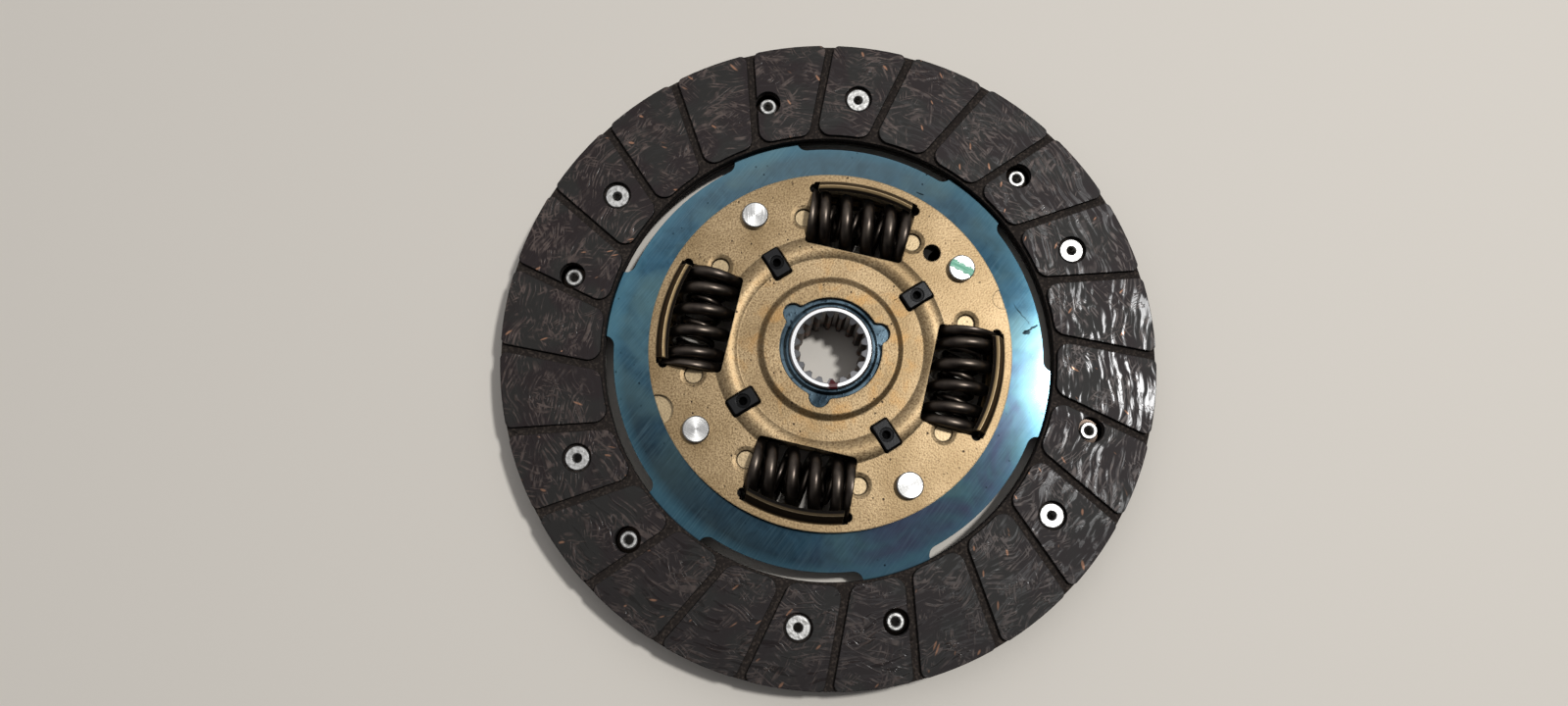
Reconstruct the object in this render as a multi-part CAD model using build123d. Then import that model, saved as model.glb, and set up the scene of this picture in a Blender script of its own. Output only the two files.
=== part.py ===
"""Clutch disc with a four-spring torsion damper.

Frame: +Z along the spline axis towards the front cover, origin on that axis at the hub's rear end,
which is also what the disc lies on. Angles are in degrees, counter-clockwise from +X seen from +Z.
Lengths are in millimetres.
"""

from build123d import *

import os
from math import asin, atan2, cos, degrees, hypot, pi, radians, sin, tan

# ---- stack along the axis ----
HUB_LENGTH = 20.0
REAR_FACE_HEIGHT = 5.4  # rear friction face above the hub's rear end
FACING_T = 3.2
PADDLE_WAVE = 0.6  # how far the two halves of a cushion paddle stand apart
CUSHION_T = 0.7
COVER_T = 2.0
COVER_GAP = 7.2  # between the inner faces of the two covers
FLANGE_T = 4.0
FACE_PLAY = 0.05  # axial play between the flange and the rubbing parts

# ---- friction facings ----
FACING_OD = 200.0
FACING_BORE_D = 138.0
PAD_COUNT = 24
PAD_INSET = 0.8  # pads start this far outside the inner edge
GROOVE_W = 2.5
GROOVE_DEPTH = 1.3
GROOVE_TILT = 12.3  # from the radius
GROOVE_ANGLE = 16.15  # of the first groove, at the mean radius
PAD_CORNER_OUT = 1.9
PAD_CORNER_IN = 3.7

# ---- facing rivets ----
RIVET_INSET = 2.0  # of the rivet circle from the middle of the facing
RIVET_COUNT = 6
FRONT_RIVET_ANGLE = 83.1
REAR_RIVET_ANGLE = 103.2
RIVET_SHANK_D = 4.2
RIVET_BORE_D = 2.7
RIVET_HEAD_D = 7.4
RIVET_HEAD_T = 0.75
RIVET_HEAD_SUNK = 0.95
RIVET_TAIL_D = 5.4
RIVET_TAIL_T = 1.0
RIVET_HOLE_PLAY = 0.05
COUNTERBORE_D = 8.7
TAIL_HOLE_D = 7.9

# ---- cushion plate ----
CUSHION_EAR_WALL = 6.0  # of the plate inside its stop pin holes
CUSHION_GAP = 2.8  # between the plate's disc and the facings' inner edge
NECK_ANGLE = 46.7
NECK_SPAN = 16.9
NECK_FILLET = 3.0
PADDLE_SPAN = 53.0
PADDLE_INSET_IN = 1.5
PADDLE_INSET_OUT = 1.0
WAVE_RAMP = 7.0
CUSHION_SPRING_PLAY = 0.8
CUSHION_DISH_PLAY = 0.3

# ---- covers ----
STEP_OUT_D = 43.8
STEP_IN_D = 40.4
STEP_H = 1.3
BEAD_IN = 2.4  # inside the window's inner edge
BEAD_OUT = 4.9  # outside it
BEAD_H = 0.9
CREASE_R = 0.8
FRONT_OPENING_D = 30.9
REAR_OPENING_D = 30.0
LOBE_COUNT = 3
LOBE_ANGLE = 16.5
LOBE_CIRCLE_D = 30.8
LOBE_D = 6.3
LOBE_FILLET = 1.2
SIGHT_HOLE_D = 5.4
SIGHT_HOLE_INSET = 11.5  # of its centre from the cover's edge
SIGHT_HOLE_ANGLE = 43.6
SMALL_NOTCH_D = 6.1
SMALL_NOTCH_ANGLE = 16.3
LARGE_NOTCH_D = 9.0
LARGE_NOTCH_ANGLE = 199.8
SMALL_NOTCH_DEPTH = 0.5
LARGE_NOTCH_DEPTH = 1.5

# ---- spring windows, the same in the covers and the flange ----
WINDOW_COUNT = 4
WINDOW_ANGLE = 76.8
WINDOW_IN = 30.4  # inner edge from the disc's axis
WINDOW_DEPTH = 22.1  # from the inner edge to the lip's bend
WINDOW_HALF = 15.05  # half length at the inner edge
WINDOW_SLANT = 3.6  # of each end, so that the window widens outwards
WINDOW_CORNER = 1.3
COVER_RIM = 2.2  # flat rim outside the lip's bend
LIP_RISE = 3.6
LIP_LEAN = 2.3
LIP_END_GAP = 0.5
RELIEF_HOLE_D = 3.0
RELIEF_HOLE_INSET = 2.0  # of its centre from the lip's bend
RELIEF_HOLE_IN = 0.5  # of its centre from the window's end
DISH_D = 7.9
DISH_FLOOR_D = 5.0
DISH_DEPTH = 1.3
DISH_WALL = 0.35  # how far its steep wall leans outwards
DISH_SHOULDER = 0.35  # how far its soft shoulder falls
DISH_BOSS = 0.7
DISH_OUT = 1.5  # dish centre beyond the window's end
DISH_UP = 7.8  # dish centre from the window's inner edge

# ---- damper springs ----
SPRING_D = 19.4  # the covers' windows are narrower, which keeps the springs in
SPRING_WIRE = 3.7
SPRING_TURNS = 5.75
SPRING_SIDE_PLAY = 0.1  # to the line of the window's inner edge, at the middle of the spring
SPRING_SEAT_PLAY = 0.1
INNER_SPRING_PLAY = 0.4
INNER_WIRE = 2.0
INNER_TURNS = 9.2
FIRST_TURN = 0.25  # from a spring's start to the first top of its wire
CLOSED_TURNS = 0.95  # at each end, before the pitch starts to open
OPENING_TURNS = 0.4  # over which the pitch opens
END_GRIND = 0.3  # how far the wire's centre runs past a ground end
POINTS_PER_TURN = 6

# ---- stop pins ----
PIN_INSET = 7.7  # of the pin circle from the covers' edge
PIN_ANGLES = (31.6, 119.0, 211.6, 299.0)
PIN_BODY_D = 9.0
PIN_SHANK_D = 6.0
PIN_HEAD_D = 8.1
PIN_HEAD_H = 2.2
PIN_HEAD_EDGE = 0.35

# ---- hub and flange ----
HUB_D = 25.1
HUB_FACE_EDGE = 0.45
SPLINE_COUNT = 18
SPLINE_MAJOR_D = 21.7
SPLINE_MINOR_D = 18.6
SPLINE_SPACE_IN = 2.25  # width of a tooth space at the minor diameter
SPLINE_SPACE_OUT = 1.15
SPLINE_LEAD_D = 22.3
HUB_TOOTH_COUNT = 12
HUB_TOOTH_D = 31.0
HUB_TOOTH_ROOT_D = 27.6
HUB_TOOTH_ROOT_SHARE = 0.55  # of a tooth's width, in the pitch at its root
HUB_TOOTH_TIP_SHARE = 0.42
HUB_TOOTH_PLAY = 0.05
TOOTH_SINK = 1.0  # how far a tooth's outline starts inside the round that carries it
FLANGE_SHORT = 0.9  # of the covers' edge
FLANGE_RIM = 1.6  # outside its windows
FLANGE_WINDOW_IN = 0.9  # how far its windows reach inside the covers'
FLANGE_WINDOW_CORNER = 0.4  # tighter than the covers', so that the spring ends bear flat
TWIST_LIMIT = 7.0  # of the hub against the covers, each way
STOP_PLAY = 0.15
NOTCH_RADIAL_PLAY = 1.0

# ---- centre pack ----
BUSH_PLAY = 0.08
BUSH_FLANGE_PLAY = 0.1  # inside the flat of the cover's raised middle
BUSH_FLANGE_T = 1.3
BUSH_COLLAR_TOP_D = 26.6
BUSH_COLLAR_H = 0.9
BUSH_LUG_PLAY = 0.25
WASHER_D = 33.0
TAB_RING_IN_D = 34.0
TAB_RING_GAP = 3.2  # inside the windows
TAB_ANGLE = 31.7
TAB_OUT = 0.4  # tab centres outside the window's inner edge
TAB_L = 8.9
TAB_W = 5.6
TAB_PLAY = 0.3
TAB_RISE = 1.7  # above the cover's flat zone
TAB_EDGE = 0.9
TAB_RECESS_D = 4.3
TAB_RECESS_DEPTH = 0.35
TAB_HOLE_D = 2.5
TAB_HOLE_DEPTH = 2.4
REAR_BUSH_FLANGE_D = 30.6
REAR_LINING_IN_D = 35.0
REAR_LINING_GAP = 3.4  # inside the windows
REAR_LINING_T = 0.7
PRESSURE_WASHER_OUT_D = 46.0
PRESSURE_WASHER_T = 0.6
DISC_SPRING_IN_D = 31.2
DISC_SPRING_EDGE_PLAY = 0.3  # outside the flat of the cover's raised middle
DISC_SPRING_T = 0.6

# ---- heights and radii worked out from the above ----
REAR_BACK_Z = REAR_FACE_HEIGHT + FACING_T
FRONT_BACK_Z = REAR_BACK_Z + CUSHION_T + PADDLE_WAVE
LINING_MID_Z = (REAR_BACK_Z + FRONT_BACK_Z) / 2
CUSHION_Z = LINING_MID_Z - CUSHION_T / 2
REAR_COVER_TOP_Z = CUSHION_Z
FRONT_COVER_Z = REAR_COVER_TOP_Z + COVER_GAP
FRONT_FLAT_Z = FRONT_COVER_Z + COVER_T
DAMPER_MID_Z = REAR_COVER_TOP_Z + COVER_GAP / 2
FLANGE_Z = DAMPER_MID_Z - FLANGE_T / 2
FLANGE_TOP_Z = FLANGE_Z + FLANGE_T
STEP_UNDER_Z = FRONT_COVER_Z + STEP_H
NEAR = 0.01  # two lengths count as the same within this
RIVET_R = (FACING_OD + FACING_BORE_D) / 4 - RIVET_INSET
CUSHION_DISC_R = FACING_BORE_D / 2 - CUSHION_GAP
LIP_BEND_R = WINDOW_IN + WINDOW_DEPTH
COVER_R = LIP_BEND_R + COVER_RIM
PIN_R = COVER_R - PIN_INSET
SIGHT_HOLE_R = COVER_R - SIGHT_HOLE_INSET
RELIEF_HOLE_R = LIP_BEND_R - RELIEF_HOLE_INSET
FLANGE_R = COVER_R - FLANGE_SHORT
DISH_HEIGHT = WINDOW_IN + DISH_UP
BEAD_IN_R = WINDOW_IN - BEAD_IN
BEAD_OUT_R = WINDOW_IN + BEAD_OUT
TAB_R = WINDOW_IN + TAB_OUT
TAB_RING_OUT_D = 2 * (WINDOW_IN - TAB_RING_GAP)
REAR_LINING_OUT_D = 2 * (WINDOW_IN - REAR_LINING_GAP)
BUSH_BORE_R = HUB_D / 2 + BUSH_PLAY
SPRING_AXIS_R = WINDOW_IN + SPRING_D / 2 + SPRING_SIDE_PLAY
STEP_ANGLE = degrees(atan2(STEP_H, (STEP_OUT_D - STEP_IN_D) / 2))
STEP_SHIFT = COVER_T * tan(radians(STEP_ANGLE / 2))  # between the step's two faces, for an even wall
DISH_BOSS_R = DISH_FLOOR_D / 2 + DISH_BOSS
STEP_SEAT_R = STEP_IN_D / 2 - STEP_SHIFT - CREASE_R * tan(radians(STEP_ANGLE / 2))


def polar(radius, angle):
    """The point at a radius and an angle in degrees."""
    return (radius * cos(radians(angle)), radius * sin(radians(angle)))


def ring(inner, outer, low, high):
    """A flat ring between two diameters and two heights."""
    return Pos(0, 0, low) * extrude(Circle(outer / 2) - Circle(inner / 2), high - low)


def turned(points):
    """A closed outline of (radius, height) points, turned about the Z axis."""
    return revolve(Plane.XZ * make_face(Polyline(*points, close=True)), Axis.Z)


def around(shape, angles):
    """Copies of a shape at the angles given, about the Z axis."""
    return [Rot(0, 0, angle) * shape for angle in angles]


def steps(count, first=0.0):
    """Evenly spaced angles round the disc."""
    return [first + 360 / count * number for number in range(count)]


def joined(base, pieces):
    """One solid from a base and pieces that meet it."""
    for piece in pieces:
        base = base + piece
    return base


# ---- friction facings ----
def pad_outline():
    """One pad: the ring between two slanted grooves, with its corners rounded."""
    inner = FACING_BORE_D / 2 + PAD_INSET
    outer = FACING_OD / 2
    mean = (inner + outer) / 2
    reach = outer - inner
    corners = []
    for number, side in ((0, -1), (-1, 1)):
        angle = GROOVE_ANGLE + 360 / PAD_COUNT * number
        heading = radians(angle - GROOVE_TILT)
        along = (cos(heading), sin(heading))
        across = (-along[1] * side * GROOVE_W / 2, along[0] * side * GROOVE_W / 2)
        middle = polar(mean, angle)
        for way in (-reach * side, reach * side):
            corners.append((middle[0] + across[0] - along[0] * way, middle[1] + across[1] - along[1] * way))
    blank = (Circle(outer) - Circle(inner)) & make_face(Polyline(*corners, close=True))
    ordered = blank.vertices().sort_by(lambda v: hypot(v.X, v.Y))
    blank = fillet(ordered[:2], PAD_CORNER_IN)
    outer_pair = blank.vertices().sort_by(lambda v: hypot(v.X, v.Y))[-2:]
    return fillet(outer_pair, PAD_CORNER_OUT)


def facing():
    """A facing with its pads upwards and its back at height 0."""
    floor = FACING_T - GROOVE_DEPTH
    body = ring(FACING_BORE_D, FACING_OD, 0, floor)
    pad = Pos(0, 0, floor) * extrude(pad_outline(), GROOVE_DEPTH)
    body = body + around(pad, steps(PAD_COUNT))
    seat = FACING_T - RIVET_HEAD_SUNK - RIVET_HEAD_T
    through = Pos(RIVET_R, 0, FACING_T / 2) * Cylinder(RIVET_SHANK_D / 2 + RIVET_HOLE_PLAY, 2 * FACING_T)
    sunk = Pos(RIVET_R, 0, seat + FACING_T / 2) * Cylinder(COUNTERBORE_D / 2, FACING_T)
    tail = Pos(RIVET_R, 0, FACING_T / 2) * Cylinder(TAIL_HOLE_D / 2, 2 * FACING_T)
    body = body - around(through + sunk, steps(RIVET_COUNT, FRONT_RIVET_ANGLE))
    return body - around(tail, steps(RIVET_COUNT, REAR_RIVET_ANGLE))


def turned_over(shape):
    """The same part on the rear: turned over about a line between its two kinds of rivet hole."""
    line = polar(1, (FRONT_RIVET_ANGLE + REAR_RIVET_ANGLE) / 2)
    return shape.rotate(Axis((0, 0, LINING_MID_Z), (line[0], line[1], 0)), 180)


def facing_rivets():
    """The tubular rivets of the front facing: head in the facing, rolled tail under the plate."""
    top = FRONT_BACK_Z + FACING_T - RIVET_HEAD_SUNK
    under_head = top - RIVET_HEAD_T
    grip_end = FRONT_BACK_Z - CUSHION_T
    end = grip_end - RIVET_TAIL_T
    bore, shank, head, tail = RIVET_BORE_D / 2, RIVET_SHANK_D / 2, RIVET_HEAD_D / 2, RIVET_TAIL_D / 2
    edge = RIVET_HEAD_T / 3
    roll = RIVET_TAIL_T / 3
    outline = [
        (bore, top - edge), (bore + edge, top), (head - edge, top), (head, top - edge), (head, under_head),
        (shank, under_head), (shank, grip_end), (tail, grip_end), (tail, end + roll), (tail - roll, end),
        (bore + roll, end), (bore, end + roll),
    ]
    rivet = Pos(RIVET_R, 0, 0) * turned(outline)
    return around(rivet, steps(RIVET_COUNT, FRONT_RIVET_ANGLE))


# ---- spring windows ----
def window_outline(outer_radius, play=0.0, inner=WINDOW_IN):
    """A spring window about the +Y axis: straight inner edge, slanted ends, round outer edge."""
    low = inner - play
    half = WINDOW_HALF + play + (low - WINDOW_IN) * tan(radians(WINDOW_SLANT))
    reach = outer_radius + play
    half_out = half + (reach - low) * tan(radians(WINDOW_SLANT))
    block = make_face(Polyline((-half, low), (half, low), (half_out, reach), (-half_out, reach), close=True))
    return block & Circle(reach)


def window_cut(outer_radius, low, high, corner=WINDOW_CORNER, inner=WINDOW_IN):
    """The solid that cuts a window with rounded inner corners, about the +Y axis."""
    outline = window_outline(outer_radius, inner=inner)
    inner_pair = outline.vertices().sort_by(Axis.Y)[:2]
    return Pos(0, 0, low) * extrude(fillet(inner_pair, corner), high - low)


def window_turns():
    """Turns that carry a shape about +Y to each window."""
    return [angle - 90 for angle in steps(WINDOW_COUNT, WINDOW_ANGLE)]


# ---- cushion plate ----
def paddle():
    """One paddle about its middle at +X: one half against each facing, with a ramp between."""
    inner = FACING_BORE_D / 2 + PADDLE_INSET_IN
    outer = FACING_OD / 2 - PADDLE_INSET_OUT
    half = PADDLE_SPAN / 2
    wedge = make_face(Polyline((0, 0), polar(2 * outer, -half), polar(2 * outer, half), close=True))
    sector = (Circle(outer) - Circle(inner)) & wedge
    high, low = FRONT_BACK_Z - CUSHION_T, REAR_BACK_Z
    ramp = WAVE_RAMP / 2
    section = Polyline(
        (-outer, high), (-ramp, high), (ramp, low), (outer, low), (outer, low + CUSHION_T),
        (ramp, low + CUSHION_T), (-ramp, high + CUSHION_T), (-outer, high + CUSHION_T), close=True,
    )
    wave = extrude(Plane.YZ * make_face(section), outer)
    return wave & (Pos(0, 0, low) * extrude(sector, high + CUSHION_T - low))


def neck():
    """The strip that joins the plate's disc to a paddle, about +X, with fillets at its root."""
    disc_r = CUSHION_DISC_R
    tip = FACING_BORE_D / 2 + PADDLE_INSET_IN + CUSHION_T
    half = tip * sin(radians(NECK_SPAN / 2))
    root = (disc_r - NECK_FILLET, 0)
    strip = Circle(disc_r) + Pos((root[0] + tip) / 2, 0) * Rectangle(tip - root[0], 2 * half)
    corners = [v for v in strip.vertices() if abs(hypot(v.X, v.Y) - disc_r) < NEAR]
    return fillet(corners, NECK_FILLET) - Circle(root[0] - NECK_FILLET)


def cushion_plate():
    disc = Circle(CUSHION_DISC_R)
    for strip in around(neck(), steps(RIVET_COUNT, NECK_ANGLE)):
        disc = disc + strip
    disc = disc - Circle(PIN_R - PIN_SHANK_D / 2 - CUSHION_EAR_WALL)
    for turn in window_turns():
        disc = disc - Rot(0, 0, turn) * window_outline(LIP_BEND_R, CUSHION_SPRING_PLAY)
        for spot in dish_spots():
            disc = disc - Rot(0, 0, turn) * spot * Circle(DISH_BOSS_R + CUSHION_DISH_PLAY)
    plate = Pos(0, 0, CUSHION_Z) * extrude(disc, CUSHION_T)
    middle = (FRONT_RIVET_ANGLE + REAR_RIVET_ANGLE) / 2
    plate = joined(plate, around(paddle(), steps(RIVET_COUNT, middle)))
    rivet_hole = Pos(RIVET_R, 0, LINING_MID_Z) * Cylinder(RIVET_SHANK_D / 2 + RIVET_HOLE_PLAY, FACING_T)
    for first in (FRONT_RIVET_ANGLE, REAR_RIVET_ANGLE):
        plate = plate - around(rivet_hole, steps(RIVET_COUNT, first))
    return plate - pin_holes()


# ---- covers ----
def pin_holes():
    """Holes for the stop pins' shanks through everything between the covers."""
    hole = Pos(PIN_R, 0, DAMPER_MID_Z) * Cylinder(PIN_SHANK_D / 2, 2 * COVER_GAP + 4 * COVER_T)
    return around(hole, PIN_ANGLES)


def cover_blank(bore):
    """A pressed cover with its inner face at height 0: flat rim, round bead, and raised middle."""
    rim, bead_top, middle = COVER_R, (BEAD_IN_R + BEAD_OUT_R) / 2, COVER_T + STEP_H
    step_out, step_in = STEP_OUT_D / 2, STEP_IN_D / 2
    top_step = FilletPolyline(
        (BEAD_IN_R, COVER_T), (step_out, COVER_T), (step_in, middle), (bore, middle), radius=CREASE_R,
    )
    under_step = FilletPolyline(
        (bore, STEP_H), (step_in - STEP_SHIFT, STEP_H), (step_out - STEP_SHIFT, 0), (BEAD_IN_R, 0),
        radius=CREASE_R,
    )
    outline = Line((rim, COVER_T), (BEAD_OUT_R, COVER_T)) + top_step + under_step
    outline += ThreePointArc((BEAD_OUT_R, COVER_T), (bead_top, COVER_T + BEAD_H), (BEAD_IN_R, COVER_T))
    outline += ThreePointArc((BEAD_IN_R, 0), (bead_top, BEAD_H), (BEAD_OUT_R, 0))
    outline += Line((bore, middle), (bore, STEP_H)) + Line((BEAD_OUT_R, 0), (rim, 0))
    outline += Line((rim, 0), (rim, COVER_T))
    return revolve(Plane.XZ * make_face(outline), Axis.Z)


def window_lip():
    """The lip that is bent up from a window's outer edge and leans over the spring, about +Y."""
    length = hypot(LIP_RISE, LIP_LEAN)
    inward, downward = COVER_T * LIP_RISE / length, COVER_T * LIP_LEAN / length
    tip = (LIP_BEND_R - LIP_LEAN, COVER_T + LIP_RISE)
    section = [
        (LIP_BEND_R + CREASE_R, 0), (LIP_BEND_R + CREASE_R, COVER_T), (LIP_BEND_R, COVER_T), tip,
        (tip[0] - inward, tip[1] - downward), (LIP_BEND_R - inward, COVER_T - downward),
        (LIP_BEND_R - inward + CREASE_R, 0),
    ]
    half = RELIEF_HOLE_R * sin(radians(relief_angle())) - RELIEF_HOLE_D / 2 + LIP_END_GAP / 2
    keep = Pos(0, LIP_BEND_R, COVER_T) * Box(2 * half, LIP_BEND_R, 4 * (LIP_RISE + COVER_T))
    return turned(section) & keep


def relief_angle():
    """Angle from a window's middle to the round hole at each end of its lip."""
    end = WINDOW_HALF + (RELIEF_HOLE_R - WINDOW_IN) * tan(radians(WINDOW_SLANT))
    return degrees(asin((end - RELIEF_HOLE_IN) / RELIEF_HOLE_R))


def dish_spots():
    """Where the dishes lie beside the ends of a window about +Y."""
    end = WINDOW_HALF + (DISH_HEIGHT - WINDOW_IN) * tan(radians(WINDOW_SLANT)) + DISH_OUT
    return [Pos(side * end, DISH_HEIGHT, 0) for side in (-1, 1)]


def pressed_dish():
    """The dish pressed beside each end of a window: what it removes above and adds below."""
    low = COVER_T - DISH_DEPTH
    edge = (DISH_D - DISH_FLOOR_D) / 2
    wall_top = (DISH_FLOOR_D / 2 + DISH_WALL, COVER_T - DISH_SHOULDER)
    outline = [
        (0, low), (DISH_FLOOR_D / 2, low), wall_top, (DISH_D / 2, COVER_T),
        (DISH_D / 2, COVER_T + edge), (0, COVER_T + edge),
    ]
    boss = Pos(0, 0, -DISH_BOSS / 2) * Cylinder(DISH_BOSS_R, DISH_BOSS)
    return turned(outline), boss


def cover_with_windows(bore):
    """What the front and rear covers share."""
    body = cover_blank(bore)
    dish, boss = pressed_dish()
    for turn in window_turns():
        place = Rot(0, 0, turn)
        for spot in dish_spots():
            body = body + place * spot * boss - place * spot * dish
        body = body - place * window_cut(LIP_BEND_R, -COVER_T, 3 * COVER_T)
        body = body + place * window_lip()
    hole = Pos(RELIEF_HOLE_R, 0, COVER_T / 2) * Cylinder(RELIEF_HOLE_D / 2, 2 * COVER_T)
    for angle in steps(WINDOW_COUNT, WINDOW_ANGLE):
        body = body - around(hole, (angle - relief_angle(), angle + relief_angle()))
    return body


def lobed_opening(play=0.0):
    """The middle opening of the front cover: a circle with three round lobes."""
    opening = Circle(FRONT_OPENING_D / 2 - play)
    for angle in steps(LOBE_COUNT, LOBE_ANGLE):
        opening = opening + Pos(*polar(LOBE_CIRCLE_D / 2, angle)) * Circle(LOBE_D / 2 - play)
    return fillet(opening.vertices(), LOBE_FILLET + play)


def rim_notch(diameter, angle, depth):
    """A half-round of the rim sheared part of the way down: what it removes and adds."""
    spot = Pos(*polar(COVER_R, angle)) * Circle(diameter / 2)
    half_round = spot & Circle(COVER_R)
    cut = Pos(0, 0, COVER_T - depth) * extrude(half_round, COVER_T)
    return cut, Pos(0, 0, -depth) * extrude(half_round, depth)


def tab_slot():
    """The slot in the front cover for one tab of the tab ring, about +X."""
    size = (TAB_L + 2 * TAB_PLAY, TAB_W + 2 * TAB_PLAY)
    outline = Pos(TAB_R, 0) * RectangleRounded(*size, TAB_EDGE)
    return Pos(0, 0, -COVER_T) * extrude(outline, 3 * COVER_T + BEAD_H)


def front_cover():
    body = cover_with_windows(LOBE_CIRCLE_D / 2 - LOBE_D)
    small_notch = (SMALL_NOTCH_D, SMALL_NOTCH_ANGLE, SMALL_NOTCH_DEPTH)
    large_notch = (LARGE_NOTCH_D, LARGE_NOTCH_ANGLE, LARGE_NOTCH_DEPTH)
    for notch in (small_notch, large_notch):
        cut, pushed = rim_notch(*notch)
        body = body - cut + pushed
    body = body - extrude(lobed_opening(), 3 * COVER_T)
    body = body - around(tab_slot(), steps(WINDOW_COUNT, TAB_ANGLE))
    sight = Pos(*polar(SIGHT_HOLE_R, SIGHT_HOLE_ANGLE)) * Circle(SIGHT_HOLE_D / 2)
    body = body - Pos(0, 0, -COVER_T) * extrude(sight, 3 * COVER_T)
    return Pos(0, 0, FRONT_COVER_Z) * body - pin_holes()


def rear_cover():
    body = cover_with_windows(REAR_OPENING_D / 2)
    return Pos(0, 0, REAR_COVER_TOP_Z) * mirror(body, Plane.XY) - pin_holes()


# ---- stop pins ----
def stop_pin(angle):
    """A shouldered pin riveted over both covers and the cushion plate."""
    body_low = CUSHION_Z + CUSHION_T
    low = REAR_COVER_TOP_Z - COVER_T
    bottom, top = low - PIN_HEAD_H, FRONT_FLAT_Z + PIN_HEAD_H
    body, shank, head = PIN_BODY_D / 2, PIN_SHANK_D / 2, PIN_HEAD_D / 2
    outline = [
        (0, bottom), (head - PIN_HEAD_EDGE, bottom), (head, bottom + PIN_HEAD_EDGE), (head, low),
        (shank, low), (shank, body_low), (body, body_low), (body, FRONT_COVER_Z),
        (shank, FRONT_COVER_Z), (shank, FRONT_FLAT_Z), (head, FRONT_FLAT_Z),
        (head, top - PIN_HEAD_EDGE), (head - PIN_HEAD_EDGE, top), (0, top),
    ]
    return Pos(*polar(PIN_R, angle), 0) * turned(outline)


# ---- damper springs ----
def coil(diameter, wire, turns, hand):
    """A spring with closed, ground ends between the window ends, about +Y.

    The wire's centre runs round the spring's axis, which bows gently outwards so that the ground
    ends lie flat on the slanted window ends. The pitch grows from a closed turn at each end. The
    hand is 1 or -1 for the way that it is wound.
    """
    radius = (diameter - wire) / 2
    half = WINDOW_HALF + (SPRING_AXIS_R - WINDOW_IN) * tan(radians(WINDOW_SLANT)) - SPRING_SEAT_PLAY
    bow = half / sin(radians(WINDOW_SLANT))
    count = round(turns * POINTS_PER_TURN)
    marks = [turns * number / count for number in range(count + 1)]
    weights = []
    for mark in marks:
        past_closed = min(mark, turns - mark) - CLOSED_TURNS
        open_share = min(max(past_closed / OPENING_TURNS, 0), 1)
        weights.append(open_share * open_share * (3 - 2 * open_share))
    gained = [0.0]
    for one, two in zip(weights[:-1], weights[1:]):
        gained.append(gained[-1] + (one + two) / 2)
    spare = 2 * (half + END_GRIND) - wire * turns
    along = [wire * mark + spare * gain / gained[-1] for mark, gain in zip(marks, gained)]
    points = []
    for mark, run in zip(marks, along):
        turn = hand * 2 * pi * (mark - FIRST_TURN) + pi / 2
        lean = (run - along[-1] / 2) / bow
        reach = bow + radius * cos(turn)
        out = SPRING_AXIS_R - bow + reach * cos(lean)
        points.append((reach * sin(lean), out, DAMPER_MID_Z + radius * sin(turn)))
    path = Spline(*points)
    wire_round = Plane(origin=path @ 0, z_dir=path % 0) * Circle(wire / 2)
    body = sweep(wire_round, path=path, is_frenet=True)
    outer = SPRING_AXIS_R + diameter
    block = window_outline(outer, inner=WINDOW_IN / 2)
    ground = Pos(0, 0, DAMPER_MID_Z - diameter) * extrude(offset(block, -SPRING_SEAT_PLAY), 2 * diameter)
    return body & ground


# ---- hub and flange ----
def toothed(root, tip, teeth, root_width, tip_width):
    """A round outline of the root diameter with straight-sided teeth out to the tip diameter."""
    outline = Circle(root / 2)
    sunk = root / 2 - TOOTH_SINK
    low = root_width + (root_width - tip_width) * (root / 2 - sunk) / ((tip - root) / 2)
    tooth = make_face(Polyline(
        (sunk, -low / 2), (tip / 2, -tip_width / 2), (tip / 2, tip_width / 2), (sunk, low / 2), close=True,
    ))
    for turn in steps(teeth):
        outline = outline + Rot(0, 0, turn) * tooth
    return outline


def hub_teeth(play=0.0):
    """The coarse teeth that key the flange on the hub."""
    pitch = pi * HUB_TOOTH_ROOT_D / HUB_TOOTH_COUNT
    root_width = HUB_TOOTH_ROOT_SHARE * pitch + 2 * play
    tip_width = HUB_TOOTH_TIP_SHARE * pitch + 2 * play
    root, tip = HUB_TOOTH_ROOT_D + 2 * play, HUB_TOOTH_D + 2 * play
    return toothed(root, tip, HUB_TOOTH_COUNT, root_width, tip_width)


def hub():
    """The splined hub, turned and broached, with the coarse teeth that carry the flange."""
    outer, edge, lead = HUB_D / 2, HUB_FACE_EDGE, SPLINE_LEAD_D / 2
    body = turned([
        (0, 0), (outer - edge, 0), (outer, edge), (outer, HUB_LENGTH - edge), (outer - edge, HUB_LENGTH),
        (0, HUB_LENGTH),
    ])
    body = body + Pos(0, 0, FLANGE_Z) * extrude(hub_teeth(), FLANGE_T)
    spline = toothed(SPLINE_MINOR_D, SPLINE_MAJOR_D, SPLINE_COUNT, SPLINE_SPACE_IN, SPLINE_SPACE_OUT)
    body = body - extrude(spline, HUB_LENGTH)
    sunk = lead - SPLINE_MINOR_D / 4
    front = turned([(0, HUB_LENGTH - sunk), (lead, HUB_LENGTH), (0, HUB_LENGTH)])
    rear = turned([(0, sunk), (lead, 0), (0, 0)])
    return body - front - rear


def stop_notch():
    """The notch in the flange's edge that a stop pin runs in, about +X."""
    reach = PIN_BODY_D / 2 + NOTCH_RADIAL_PLAY
    half = TWIST_LIMIT + degrees(asin((PIN_BODY_D / 2 + STOP_PLAY) / PIN_R))
    outer = 2 * FLANGE_R
    wedge = make_face(Polyline((0, 0), polar(outer, -half), polar(outer, half), close=True))
    notch = wedge - Circle(PIN_R - reach)
    inner_pair = notch.vertices().sort_by(lambda v: hypot(v.X, v.Y))[:2]
    return fillet(inner_pair, PIN_BODY_D / 4)


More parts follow.
